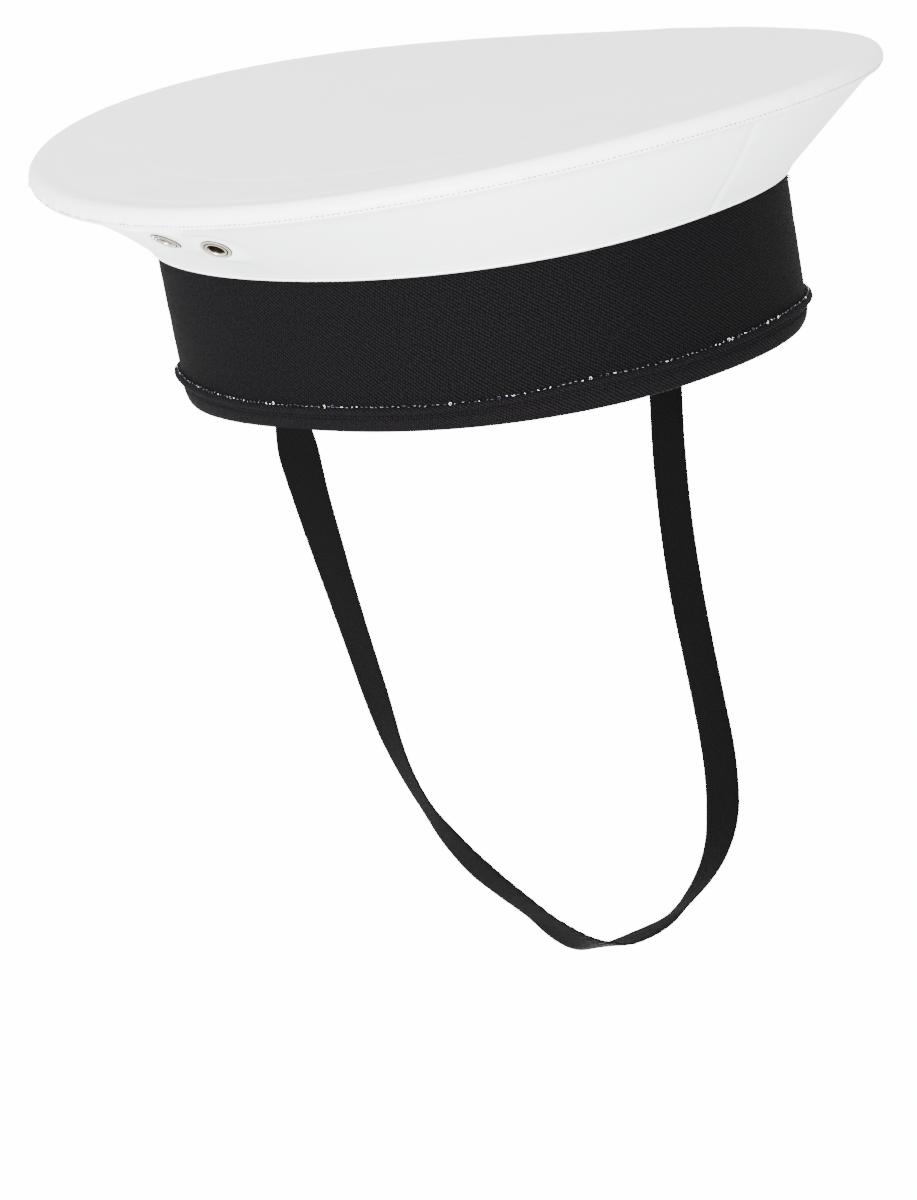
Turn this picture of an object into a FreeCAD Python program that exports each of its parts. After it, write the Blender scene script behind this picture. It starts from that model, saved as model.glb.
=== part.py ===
import FreeCAD, Part

import math
import os

import Sketcher
from FreeCAD import Placement, Rotation, Vector

# A sailor's round cap: a flat white crown stretched over a hoop of wire, white side panels that slope
# in to the head, a tall black band and a narrow black chin stay. Millimetres. +Z is up along the axis of
# the band, -Y is the front, -X is the wearer's right. The origin is the centre of the head opening, in
# the plane of the band's lower edge.

DIMENSIONS = [
    # The band's outer face is a rounded oval, r = ((cos/length)^n + (sin/width)^n)^(-1/n).
    ("band_half_length", 100.5),
    ("band_half_width", 89.5),
    ("oval_power", 2.26),
    # Layers of the band, each counted inward from the outer face, and their heights.
    ("cloth_thickness", 0.8),
    ("board_outside", 1.0),
    ("board_thickness", 1.4),
    ("sweatband_outside", 4.7),
    ("sweatband_thickness", 1.0),
    ("edge_tuck", 2.4),
    ("edge_flare", 0.4),
    ("edge_height", 6.5),
    ("welt_foot", 6.7),
    ("welt_crest", 7.9),
    ("welt_top", 9.1),
    ("welt_shoulder", 1.2),
    ("welt_bulge", 2.2),
    ("band_foot", 9.3),
    ("band_top", 48.7),
    ("board_foot", 7.2),
    ("sweatband_foot", 1.7),
    ("sweatband_top", 42.0),
    ("reed_foot", 0.2),
    ("reed_top", 1.5),
    # The side wall, from the top of the band out to the crown, in three layers.
    ("wall_foot", 48.9),
    ("wall_top", 76.2),
    ("wall_top_radius", 131.6),
    ("panel_depth", 1.4),
    ("interlining_outside", 1.6),
    ("interlining_inside", 3.2),
    ("lining_outside", 3.4),
    ("lining_inside", 4.6),
    ("seam_gap", 0.1),
    # The crown: a hoop of wire in a padded roll, and the cover drawn over it.
    ("hoop_radius", 132.0),
    ("hoop_height", 80.1),
    ("wire_radius", 1.2),
    ("wire_turn", 359.5),
    ("ferrule_bore", 1.25),
    ("ferrule_radius", 1.75),
    ("ferrule_angle", 8.0),
    ("padding_bore", 1.9),
    ("padding_radius", 2.5),
    ("roll_bore", 2.7),
    ("roll_radius", 3.6),
    ("crown_board_radius", 101.0),
    ("crown_board_height", 81.2),
    ("crown_board_thickness", 1.4),
    ("crown_pad_bore", 102.5),
    ("crown_pad_radius", 127.5),
    ("crown_pad_height", 80.9),
    ("crown_pad_thickness", 1.7),
    ("crown_lining_radius", 127.0),
    ("crown_lining_height", 78.7),
    ("crown_lining_thickness", 0.8),
    # Vent eyelets, two on each side.
    ("eyelet_bore", 2.5),
    ("eyelet_barrel", 3.0),
    ("eyelet_clearance", 3.15),
    ("eyelet_flange", 5.0),
    ("eyelet_flange_foot", 0.15),
    ("eyelet_flange_top", 0.95),
    ("eyelet_flange_edge", 0.45),
    ("eyelet_flange_crest", 4.2),
    ("eyelet_length", 3.9),
    ("washer_bore", 3.05),
    ("washer_radius", 4.7),
    ("washer_depth", 3.6),
    ("washer_thickness", 0.6),
    ("eyelet_wall_share", 0.62),
    ("eyelet_front_angle", 86.6),
    ("eyelet_rear_angle", 98.6),
    # The chin stay, a flat tape that swings about the line through its two exits.
    ("tape_width", 14.0),
    ("tape_thickness", 0.9),
    ("stay_exit_x", 85.3),
    ("stay_exit_y", 7.0),
    ("tab_top", 26.0),
    ("tab_reach", 17.7),
    ("stay_reach", 18.0),
]
SIZE = dict(DIMENSIONS)

OUTLINE_POINTS = 32     # points of formula in each oval or round outline
HALF_SPACE = 200.0      # half side of the boxes that split left from right
CUTTER_LENGTH = 20.0    # length of the cutters that open the eyelet holes
ARC_SHARE = 0.45        # part of the shorter run that each arc of the chin stay takes up
SMALLEST_BEND = 35.0    # two and a half widths of the tape

# The chin stay's route, from the right-hand exit down round the jaw and up to the left-hand one. The cap
# sits tilted to the wearer's right and back, so the loop hangs a little to that side.
STAY_ROUTE = [
    (-85.3, 7.0, 0.0),
    (-84.9, 5.3, -19.0),
    (-83.9, 0.3, -47.7),
    (-83.4, -6.6, -78.4),
    (-83.8, -15.0, -111.8),
    (-77.3, -28.6, -139.5),
    (-62.1, -39.7, -160.8),
    (-42.7, -40.4, -179.2),
    (-20.9, -36.8, -185.4),
    (4.3, -39.4, -183.0),
    (27.3, -39.6, -169.1),
    (45.8, -27.3, -150.0),
    (58.0, -14.0, -126.0),
    (66.5, -3.5, -91.0),
    (75.2, 3.0, -53.0),
    (84.4, 6.4, -19.0),
    (85.3, 7.0, 0.0),
]

doc = FreeCAD.newDocument("SailorCap")
sheet = doc.addObject("Spreadsheet::Sheet", "Dimensions")
for row, (alias, size) in enumerate(DIMENSIONS, start=1):
    sheet.set(f"A{row}", alias.replace("_", " "))
    sheet.set(f"B{row}", str(size))
    sheet.setAlias(f"B{row}", alias)
doc.recompute()

nodes = []


def value(*terms):
    """The sum of named dimensions; a name with a minus sign in front is taken away."""
    return sum(-SIZE[t[1:]] if t.startswith("-") else SIZE[t] for t in terms)


def formula(*terms):
    """The same sum as an expression on the sheet."""
    signed = [f"-Dimensions.{t[1:]}" if t.startswith("-") else f"+Dimensions.{t}" for t in terms]
    return "0 " + " ".join(signed)


def keep(feature, label):
    """Name the feature as a finished sub-part."""
    feature.Label = label
    nodes.append(feature)
    return feature


def outline(name, half_length, half_width, power, height):
    """A closed smooth outline, half_length along Y and half_width along X, at a height on the sheet."""
    points = []
    for i in range(OUTLINE_POINTS):
        turn = 2 * math.pi * i / OUTLINE_POINTS
        along, across = abs(math.cos(turn)), abs(math.sin(turn))
        radius = ((along / half_length) ** power + (across / half_width) ** power) ** (-1 / power)
        points.append(Vector(-radius * math.sin(turn), -radius * math.cos(turn), 0))
    curve = Part.BSplineCurve()
    curve.interpolate(Points=points, Parameters=range(OUTLINE_POINTS + 1), PeriodicFlag=True)
    feature = doc.addObject("Part::Feature", name)
    feature.Shape = Part.Wire([curve.toShape()])
    feature.Placement = Placement(Vector(0, 0, value(*height)), Rotation())
    feature.setExpression("Placement.Base.z", formula(*height))
    return feature


def oval(name, inset, height):
    """The band's outline drawn in by inset, which is below zero where it stands out."""
    length, width = SIZE["band_half_length"] - inset, SIZE["band_half_width"] - inset
    return outline(name, length, width, SIZE["oval_power"], height)


def circle(name, inset, height):
    """The round outline of the side wall's top, drawn in by inset."""
    radius = SIZE["wall_top_radius"] - inset
    return outline(name, radius, radius, 2.0, height)


def loft(name, sections):
    """A solid of straight lines between outlines."""
    feature = doc.addObject("Part::Loft", name)
    feature.Sections = sections
    feature.Solid = True
    feature.Ruled = True
    return feature


def cut(name, base, tool):
    feature = doc.addObject("Part::Cut", name)
    feature.Base = base
    feature.Tool = tool
    return feature


def common(name, base, tool):
    feature = doc.addObject("Part::Common", name)
    feature.Base = base
    feature.Tool = tool
    return feature


def fuse(name, shapes):
    feature = doc.addObject("Part::MultiFuse", name)
    feature.Shapes = shapes
    return feature


def oval_ring(name, levels):
    """A ring round the head from levels of (outer inset, inner inset, height)."""
    outer = [oval(f"{name}_outer_{i}", out, height) for i, (out, _, height) in enumerate(levels)]
    inner = [oval(f"{name}_inner_{i}", deep, height) for i, (_, deep, height) in enumerate(levels)]
    return cut(f"{name}_ring", loft(f"{name}_outside", outer), loft(f"{name}_inside", inner))


def wall_ring(name, outside, inside):
    """One layer of the sloping side wall, between two insets from its outer face."""
    faces = []
    for side, inset in (("outer", outside), ("inner", inside)):
        foot = oval(f"{name}_{side}_foot", inset, ["wall_foot"])
        top = circle(f"{name}_{side}_top", inset, ["wall_top"])
        faces.append(loft(f"{name}_{side}_face", [foot, top]))
    return cut(f"{name}_ring", *faces)


def disc(name, radius, thickness, height):
    """A flat disc bound to the sheet."""
    feature = doc.addObject("Part::Cylinder", name)
    feature.setExpression("Radius", formula(*radius))
    feature.setExpression("Height", formula(*thickness))
    feature.setExpression("Placement.Base.z", formula(*height))
    return feature


def hoop(name, radius, sweep=None, middle=90.0):
    """A ring of round section in the crown's edge, whole, or an arc whose middle is at that angle."""
    feature = doc.addObject("Part::Torus", name)
    feature.setExpression("Radius1", formula("hoop_radius"))
    feature.setExpression("Radius2", formula(radius))
    if sweep:
        feature.setExpression("Angle3", formula(sweep))
        feature.Placement = Placement(Vector(), Rotation(Vector(0, 0, 1), middle - SIZE[sweep] / 2))
    feature.setExpression("Placement.Base.z", formula("hoop_height"))
    return feature


def turned(label, corners, arcs=None):
    """A body turned about its Z axis. Each corner is (radius terms, height terms). arcs gives, for the
    corner that a half-round edge leaves, a point on that edge and the radius terms of its centre."""
    arcs = arcs or {}
    body = doc.addObject("PartDesign::Body", label.title().replace("_", ""))
    plane = next(f for f in body.Origin.OriginFeatures if f.Role == "XZ_Plane")
    sketch = body.newObject("Sketcher::SketchObject", f"{body.Name}Profile")
    sketch.AttachmentSupport = [(plane, "")]
    sketch.MapMode = "FlatFace"
    points = [Vector(value(*x), value(*y), 0) for x, y in corners]
    starts = []
    for i, start in enumerate(points):
        end, forward = points[(i + 1) % len(points)], True
        if i in arcs:
            # A sketch counts an arc's ends counter-clockwise, so a clockwise edge is drawn backwards.
            middle = Vector(*arcs[i][0], 0)
            forward = (middle - start).cross(end - middle).z > 0
            edge = Part.Arc(start, middle, end) if forward else Part.Arc(end, middle, start)
        else:
            edge = Part.LineSegment(start, end)
        sketch.addGeometry(edge)
        starts.append(1 if forward else 2)
    for i in range(len(points)):
        after = (i + 1) % len(points)
        sketch.addConstraint(Sketcher.Constraint("Coincident", i, 3 - starts[i], after, starts[after]))
    for i, (x, y) in enumerate(corners):
        for kind, terms in (("DistanceX", x), ("DistanceY", y)):
            bind(sketch, Sketcher.Constraint(kind, i, starts[i], value(*terms)), terms)
    for i, (_, centre) in arcs.items():
        bind(sketch, Sketcher.Constraint("DistanceX", i, 3, value(*centre)), centre)
    turn = body.newObject("PartDesign::Revolution", f"{body.Name}Turn")
    turn.Profile = sketch
    turn.ReferenceAxis = (sketch, ["V_Axis"])
    turn.Angle = 360
    body.Tip = turn
    return keep(body, label)


def bind(sketch, constraint, terms):
    """Add a constraint whose size is a sum on the sheet."""
    index = sketch.addConstraint(constraint)
    sketch.setExpression(f"Constraints[{index}]", formula(*terms))


def wall_point(angle, share):
    """A point on the side wall's outer face, at an angle from the front and a share of its height."""
    turn = math.radians(angle)
    along, across = abs(math.cos(turn)), abs(math.sin(turn))
    power = SIZE["oval_power"]
    scaled = (along / SIZE["band_half_length"]) ** power + (across / SIZE["band_half_width"]) ** power
    radius = scaled ** (-1 / power) * (1 - share) + SIZE["wall_top_radius"] * share
    height = SIZE["wall_foot"] * (1 - share) + SIZE["wall_top"] * share
    return Vector(-radius * math.sin(turn), -radius * math.cos(turn), height)


def wall_seat(angle, share):
    """The placement on the wall's outer face whose Z axis points straight out of it."""
    across = wall_point(angle + 0.5, share) - wall_point(angle - 0.5, share)
    upward = wall_point(angle, 1.0) - wall_point(angle, 0.0)
    outward = across.cross(upward)
    if outward.dot(wall_point(angle, share)) < 0:
        outward = -outward
    return Placement(wall_point(angle, share), Rotation(Vector(0, 0, 1), outward))


# Crown: cover, two flat layers under it, the wire hoop with its ferrule and padding, and the lining.
turned(
    "crown_cover",
    [
        ([], ["hoop_height", "roll_radius"]),
        (["hoop_radius"], ["hoop_height", "roll_radius"]),
        (["hoop_radius"], ["hoop_height", "-roll_radius"]),
        (["hoop_radius"], ["hoop_height", "-roll_bore"]),
        (["hoop_radius"], ["hoop_height", "roll_bore"]),
        ([], ["hoop_height", "roll_bore"]),
    ],
    {
        1: ((value("hoop_radius", "roll_radius"), value("hoop_height")), ["hoop_radius"]),
        3: ((value("hoop_radius", "roll_bore"), value("hoop_height")), ["hoop_radius"]),
    },
)
keep(
    disc("CrownBoard", ["crown_board_radius"], ["crown_board_thickness"], ["crown_board_height"]),
    "crown_board",
)
turned(
    "crown_wadding",
    [
        (["crown_pad_bore"], ["crown_pad_height"]),
        (["crown_pad_radius"], ["crown_pad_height"]),
        (["crown_pad_radius"], ["crown_pad_height", "crown_pad_thickness"]),
        (["crown_pad_bore"], ["crown_pad_height", "crown_pad_thickness"]),
    ],
)
keep(hoop("Wire", "wire_radius", "wire_turn", -90.0), "crown_wire")
ferrule_outside = hoop("FerruleOutside", "ferrule_radius", "ferrule_angle")
keep(cut("Ferrule", ferrule_outside, hoop("FerruleBore", "ferrule_bore")), "wire_ferrule")
padding_outside = hoop("PaddingOutside", "padding_radius")
keep(cut("RollPadding", padding_outside, hoop("PaddingBore", "padding_bore")), "roll_padding")
keep(
    disc("CrownLining", ["crown_lining_radius"], ["crown_lining_thickness"], ["crown_lining_height"]),
    "crown_lining",
)

# Side wall: an outer panel each side, a stiff interlining and a lining, pierced by the eyelets.
seats = {}
for side, sign in (("right", 1), ("left", -1)):
    for place in ("front", "rear"):
        seats[f"{side}_{place}"] = wall_seat(sign * SIZE[f"eyelet_{place}_angle"], SIZE["eyelet_wall_share"])
cutters = []
for name, seat in seats.items():
    cutter = doc.addObject("Part::Cylinder", f"EyeletHole_{name}")
    cutter.setExpression("Radius", formula("eyelet_clearance"))
    cutter.Height = CUTTER_LENGTH
    cutter.Placement = seat.multiply(Placement(Vector(0, 0, -CUTTER_LENGTH / 2), Rotation()))
    cutters.append(cutter)
eyelet_holes = fuse("EyeletHoles", cutters)

panels = cut("Panels", wall_ring("Panel", 0.0, SIZE["panel_depth"]), eyelet_holes)
for side, sign in (("right", -1), ("left", 1)):
    half = doc.addObject("Part::Box", f"Half_{side}")
    half.Length, half.Width, half.Height = HALF_SPACE, 2 * HALF_SPACE, HALF_SPACE
    near = SIZE["seam_gap"] / 2
    half.Placement = Placement(Vector(near if sign > 0 else -near - HALF_SPACE, -HALF_SPACE, 0), Rotation())
    keep(common(f"Panel_{side}", panels, half), f"side_panel_{side}")
interlining = wall_ring("Interlining", SIZE["interlining_outside"], SIZE["interlining_inside"])
keep(cut("InterliningPierced", interlining, eyelet_holes), "side_interlining")
lining = wall_ring("Lining", SIZE["lining_outside"], SIZE["lining_inside"])
keep(cut("LiningPierced", lining, eyelet_holes), "side_lining")

for name, seat in seats.items():
    eyelet = turned(
        f"eyelet_{name}",
        [
            (["eyelet_bore"], ["-eyelet_length"]),
            (["eyelet_barrel"], ["-eyelet_length"]),
            (["eyelet_barrel"], ["eyelet_flange_foot"]),
            (["eyelet_flange"], ["eyelet_flange_foot"]),
            (["eyelet_flange"], ["eyelet_flange_edge"]),
            (["eyelet_flange_crest"], ["eyelet_flange_top"]),
            (["eyelet_barrel"], ["eyelet_flange_top"]),
            (["eyelet_bore"], ["eyelet_flange_edge"]),
        ],
    )
    eyelet.Placement = seat
    washer = turned(
        f"eyelet_washer_{name}",
        [
            (["washer_bore"], ["-washer_depth"]),
            (["washer_radius"], ["-washer_depth"]),
            (["washer_radius"], ["-washer_depth", "washer_thickness"]),
            (["washer_bore"], ["-washer_depth", "washer_thickness"]),
        ],
    )
    washer.Placement = seat

# Band: serge with a welt and a tucked lower edge, over a stiff board, with the sweatband inside.
cloth = SIZE["cloth_thickness"]
keep(oval_ring("Band", [(0.0, cloth, ["band_foot"]), (0.0, cloth, ["band_top"])]), "band_cloth")
shoulder, bulge = SIZE["welt_shoulder"], SIZE["welt_bulge"]
welt_levels = [
    (-shoulder, cloth, ["welt_foot"]),
    (-bulge, cloth, ["welt_crest"]),
    (-shoulder, cloth, ["welt_top"]),
]
keep(oval_ring("Welt", welt_levels), "band_welt")
tuck, flare = SIZE["edge_tuck"], -SIZE["edge_flare"]
edge_levels = [(tuck, tuck + cloth, []), (flare, flare + cloth, ["edge_height"])]
keep(oval_ring("Edge", edge_levels), "band_edge")
for label, foot, top, outside, thickness in (
    ("band_board", "board_foot", "band_top", "board_outside", "board_thickness"),
    ("sweatband", "sweatband_foot", "sweatband_top", "sweatband_outside", "sweatband_thickness"),
    ("sweatband_reed", "reed_foot", "reed_top", "sweatband_outside", "sweatband_thickness"),
):
    out, deep = SIZE[outside], SIZE[outside] + SIZE[thickness]
    keep(oval_ring(label.title().replace("_", ""), [(out, deep, [foot]), (out, deep, [top])]), label)


def hinge_cylinder(name, radius):
    """A cylinder about the line through both exits, which the chin stay swings on."""
    feature = doc.addObject("Part::Cylinder", name)
    feature.setExpression("Radius", formula(radius))
    feature.Height = 2 * HALF_SPACE
    feature.Placement = Placement(Vector(-HALF_SPACE, 0, 0), Rotation(Vector(0, 1, 0), 90))
    feature.setExpression("Placement.Base.y", formula("stay_exit_y"))
    return feature


def tape_box(name, middle_x, low, tall):
    """A flat length of tape standing at an exit, from a height terms up by another."""
    feature = doc.addObject("Part::Box", name)
    feature.setExpression("Length", formula("tape_thickness"))
    feature.setExpression("Width", formula("tape_width"))
    feature.setExpression("Height", formula(*tall))
    feature.setExpression("Placement.Base.x", f"{middle_x} - Dimensions.tape_thickness / 2")
    feature.setExpression("Placement.Base.y", "Dimensions.stay_exit_y - Dimensions.tape_width / 2")
    feature.setExpression("Placement.Base.z", formula(*low))
    return feature


def rounded_path(points, share):
    """Straight runs joined by tangent arcs, with the radius of every arc."""
    points = [Vector(*p) for p in points]
    edges, radii, here = [], [], points[0]
    for before, corner, after in zip(points, points[1:], points[2:]):
        into, out = (corner - before), (after - corner)
        turn = into.getAngle(out)
        reach = share * min(into.Length, out.Length)
        radius = reach / math.tan(turn / 2)
        into.normalize()
        out.normalize()
        start, end = corner - into * reach, corner + out * reach
        toward = (out - into).normalize()
        middle = corner + toward * (radius / math.cos(turn / 2) - radius)
        edges += [Part.LineSegment(here, start).toShape(), Part.Arc(start, middle, end).toShape()]
        radii.append(radius)
        here = end
    edges.append(Part.LineSegment(here, points[-1]).toShape())
    return Part.Wire(edges), radii


# Chin stay: a tab sewn in at each side, and the loose loop that swings from them.
for side, sign in (("right", "-"), ("left", "")):
    above = tape_box(f"Tab_{side}_sewn", f"{sign}Dimensions.stay_exit_x", [], ["tab_top"])
    below = tape_box(f"Tab_{side}_drop", f"{sign}Dimensions.stay_exit_x", ["-tab_reach"], ["tab_reach"])
    tail = common(f"Tab_{side}_tail", below, hinge_cylinder(f"Tab_{side}_hinge", "tab_reach"))
    keep(fuse(f"Tab_{side}", [above, tail]), f"stay_tab_{side}")

spine = doc.addObject("Part::Feature", "StaySpine")
spine.Shape, radii = rounded_path(STAY_ROUTE, ARC_SHARE)
print("chin stay length", round(spine.Shape.Length, 1), "radii", [round(r) for r in radii])
assert min(radii) > SMALLEST_BEND, "the chin stay bends too tightly"
first_run = (Vector(*STAY_ROUTE[1]) - Vector(*STAY_ROUTE[0])).normalize()
face = first_run.cross(Vector(0, 1, 0)).normalize() * (SIZE["tape_thickness"] / 2)
width = face.cross(first_run).normalize() * (SIZE["tape_width"] / 2)
offsets = [face + width, face - width, -face - width, width - face]
corners = [Vector(*STAY_ROUTE[0]) + offset for offset in offsets]
section = doc.addObject("Part::Feature", "StaySection")
section.Shape = Part.makePolygon(corners + corners[:1])
tape = doc.addObject("Part::Sweep", "StayTape")
tape.Sections = [section]
tape.Spine = (spine, [f"Edge{i + 1}" for i in range(len(spine.Shape.Edges))])
tape.Solid = True
tape.Frenet = False
keep(cut("Stay", tape, hinge_cylinder("StayHinge", "stay_reach")), "chin_stay")

doc.recompute()
for thing in doc.Objects:
    bad = [state for state in thing.State if state in ("Invalid", "Error")]
    if bad:
        raise RuntimeError(f"{thing.Label} is {bad}")
for node in nodes:
    if node.Shape.isNull() or not node.Shape.isValid() or not node.Shape.Solids:
        raise RuntimeError(f"{node.Label} has no valid solid")
    print(f"{node.Label:28s} solids {len(node.Shape.Solids)}  volume {node.Shape.Volume:10.1f}")
expected = spine.Shape.Length * SIZE["tape_width"] * SIZE["tape_thickness"]
print("tape volume", round(tape.Shape.Volume, 1), "section times length", round(expected, 1))

os.makedirs("parts", exist_ok=True)
for node in nodes:
    node.Shape.exportStep(f"parts/{node.Label}.step")
print(len(nodes), "nodes written")
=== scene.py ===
import math

import bmesh
import bpy
import numpy as np
from mathutils import Matrix, Vector


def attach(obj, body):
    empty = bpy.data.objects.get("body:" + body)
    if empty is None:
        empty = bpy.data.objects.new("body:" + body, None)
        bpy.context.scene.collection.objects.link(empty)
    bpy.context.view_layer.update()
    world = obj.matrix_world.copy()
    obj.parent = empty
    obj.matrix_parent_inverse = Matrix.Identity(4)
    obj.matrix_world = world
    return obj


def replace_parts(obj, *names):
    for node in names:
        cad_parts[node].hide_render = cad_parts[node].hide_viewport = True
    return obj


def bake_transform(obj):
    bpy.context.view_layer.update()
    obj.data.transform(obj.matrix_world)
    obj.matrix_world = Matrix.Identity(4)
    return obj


# The looks of a sailor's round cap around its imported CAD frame. Shapes are worked out in millimetres and
# turned to metres as each mesh is made. +Z is up, -Y the front and -X the wearer's right. A turn is an
# angle round the cap in radians, 0 at the front and growing towards the wearer's right.
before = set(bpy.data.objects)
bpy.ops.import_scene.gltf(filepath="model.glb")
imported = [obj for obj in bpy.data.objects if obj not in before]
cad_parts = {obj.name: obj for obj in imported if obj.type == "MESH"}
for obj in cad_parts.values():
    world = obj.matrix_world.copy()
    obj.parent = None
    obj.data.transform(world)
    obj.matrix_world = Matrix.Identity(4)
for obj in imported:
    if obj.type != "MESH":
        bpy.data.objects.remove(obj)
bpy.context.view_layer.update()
scene = bpy.context.scene
random = np.random.default_rng(11)
MM = 0.001

# ---------------------------------------------------------------------------------------------- camera
CAMERA_AZIMUTH, CAMERA_ELEVATION, CAMERA_ROLL = -44.488, 13.761, -9.332
CAMERA_DISTANCE = 2.2953
CAMERA_LENS = 216.95
AIM_ACROSS, AIM_UP = -0.01144, -0.07623


def aim_camera():
    """The photograph's viewpoint."""
    turn, tip, roll = (math.radians(a) for a in (CAMERA_AZIMUTH, CAMERA_ELEVATION, CAMERA_ROLL))
    level = Vector((math.cos(turn), math.sin(turn), 0))
    back = Vector((math.sin(turn) * math.cos(tip), -math.cos(turn) * math.cos(tip), math.sin(tip)))
    upright = back.cross(level)
    across = math.cos(roll) * level + math.sin(roll) * upright
    up = math.cos(roll) * upright - math.sin(roll) * level
    place = AIM_ACROSS * across + AIM_UP * up + CAMERA_DISTANCE * back
    data = bpy.data.cameras.new("camera")
    data.lens = CAMERA_LENS
    data.sensor_width = 36.0
    data.clip_end = 60.0
    camera = bpy.data.objects.new("camera", data)
    camera.matrix_world = Matrix.Translation(place) @ Matrix((across, up, back)).transposed().to_4x4()
    scene.collection.objects.link(camera)
    scene.camera = camera


aim_camera()


# -------------------------------------------------------------------------------------------- materials
class Surface:
    """A node material, built up one node at a time. Lengths in it are metres."""

    def __init__(self, name, colour, roughness, **sockets):
        self.material = bpy.data.materials.new(name)
        self.material.use_nodes = True
        self.material.diffuse_color = (*colour, 1)
        self.tree = self.material.node_tree
        self.shader = self.tree.nodes["Principled BSDF"]
        self.shader.inputs["Base Color"].default_value = (*colour, 1)
        self.shader.inputs["Roughness"].default_value = roughness
        for socket, number in sockets.items():
            self.shader.inputs[socket.replace("_", " ")].default_value = number

    def node(self, kind, *inputs, out=0, **settings):
        """A node with its settings and its first inputs, which are sockets, numbers or None."""
        node = self.tree.nodes.new("ShaderNode" + kind)
        for key, setting in settings.items():
            setattr(node, key, setting)
        for socket, source in zip(node.inputs, inputs):
            if isinstance(source, bpy.types.NodeSocket):
                self.tree.links.new(source, socket)
            elif source is not None:
                socket.default_value = source
        return node.outputs[out]

    def math(self, operation, *inputs):
        return self.node("Math", *inputs, operation=operation)

    def noise(self, place, size, detail=2.0, stretch=(1, 1, 1)):
        """Noise from 0 to 1 with features of that size, stretched along the axes."""
        scaled = self.node("Mapping", place, None, None, stretch)
        return self.node("TexNoise", scaled, None, 1 / size, detail)

    def colours(self, share, low, high, start=0.0, end=1.0):
        """Blend between two colours as share goes from start to end."""
        ramp = self.tree.nodes.new("ShaderNodeValToRGB")
        for element, place, colour in zip(ramp.color_ramp.elements, (start, end), (low, high)):
            element.position = place
            element.color = (*colour, 1)
        self.tree.links.new(share, ramp.inputs[0])
        return ramp.outputs[0]

    def paint(self, colour):
        self.tree.links.new(colour, self.shader.inputs["Base Color"])

    def dull(self, roughness):
        self.tree.links.new(roughness, self.shader.inputs["Roughness"])

    def raise_by(self, height, depth):
        """Bump of that depth, on top of any bump already there."""
        before = self.shader.inputs["Normal"].links
        bump = self.tree.nodes.new("ShaderNodeBump")
        bump.inputs["Strength"].default_value = 1.0
        bump.inputs["Distance"].default_value = depth
        self.tree.links.new(height, bump.inputs["Height"])
        if before:
            self.tree.links.new(before[0].from_socket, bump.inputs["Normal"])
        self.tree.links.new(bump.outputs[0], self.shader.inputs["Normal"])

    def weave_place(self):
        return self.node("UVMap", uv_map="UVMap")

    def solid_place(self):
        return self.node("TexCoord", out=3)

    def wave(self, along, pitch, wobble=None, amount=0.0):
        """A ripple from 0 to 1 along a distance, with that pitch, bent by wobble."""
        turns = self.math("DIVIDE", along, pitch)
        if wobble is not None:
            bend = self.math("MULTIPLY_ADD", wobble, amount, -amount / 2)
            turns = self.math("ADD", turns, bend)
        ripple = self.math("SINE", self.math("MULTIPLY", turns, 2 * math.pi))
        return self.math("MULTIPLY_ADD", ripple, 0.5, 0.5)


def coated_cotton(name, colour, shade):
    """White cotton with a smooth wipe-clean coat: faint grain, soft blotches and uneven gloss."""
    s = Surface(name, colour, 0.42, Specular_IOR_Level=0.5)
    place = s.solid_place()
    blotch = s.noise(place, 0.045, 3.0)
    s.paint(s.colours(blotch, shade, colour, 0.25, 0.7))
    s.dull(s.math("MULTIPLY_ADD", s.noise(place, 0.012, 4.0), 0.22, 0.33))
    s.raise_by(s.noise(place, 0.0006, 3.0), 0.00003)
    s.raise_by(s.noise(place, 0.009, 2.0), 0.00012)
    return s.material


def serge(name, dark, light):
    """Black twill serge: fine diagonal ribs crossed by the yarns."""
    s = Surface(name, light, 0.92, Specular_IOR_Level=0.04)
    place = s.weave_place()
    across = s.node("SeparateXYZ", place)
    along = across.node.outputs[1]
    wobble = s.noise(place, 0.004, 2.0)
    slope = s.math("ADD", s.math("MULTIPLY", across, 0.60), s.math("MULTIPLY", along, 0.80))
    rib = s.wave(slope, 0.00098, wobble, 0.9)
    slant = s.math("SUBTRACT", s.math("MULTIPLY", across, 0.9), s.math("MULTIPLY", along, 0.2))
    yarn = s.wave(slant, 0.0008, wobble, 1.1)
    fleck = s.noise(place, 0.0009, 4.0)
    weave = s.math("MULTIPLY", rib, s.math("MULTIPLY_ADD", yarn, 0.7, 0.3))
    tone = s.math("MULTIPLY_ADD", fleck, 1.1, s.math("MULTIPLY_ADD", weave, 0.85, -0.45))
    s.paint(s.colours(tone, dark, light, 0.1, 0.95))
    s.raise_by(weave, 0.00016)
    return s.material


def woven_tape(name, dark, light):
    """Black cotton tape: fine lengthwise ribs, each broken up by the weft."""
    s = Surface(name, light, 0.9, Specular_IOR_Level=0.05)
    place = s.weave_place()
    across = s.node("SeparateXYZ", place)
    along = across.node.outputs[1]
    wobble = s.noise(place, 0.003, 2.0)
    rib = s.wave(across, 0.00085, wobble, 0.35)
    weft = s.wave(along, 0.00075, wobble, 0.8)
    weave = s.math("MULTIPLY", rib, s.math("MULTIPLY_ADD", weft, 0.4, 0.6))
    tone = s.math("MULTIPLY_ADD", s.noise(place, 0.0008, 2.0), 0.5, s.math("MULTIPLY", weave, 0.7))
    s.paint(s.colours(tone, dark, light, 0.25, 1.0))
    s.raise_by(weave, 0.00022)
    return s.material


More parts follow.
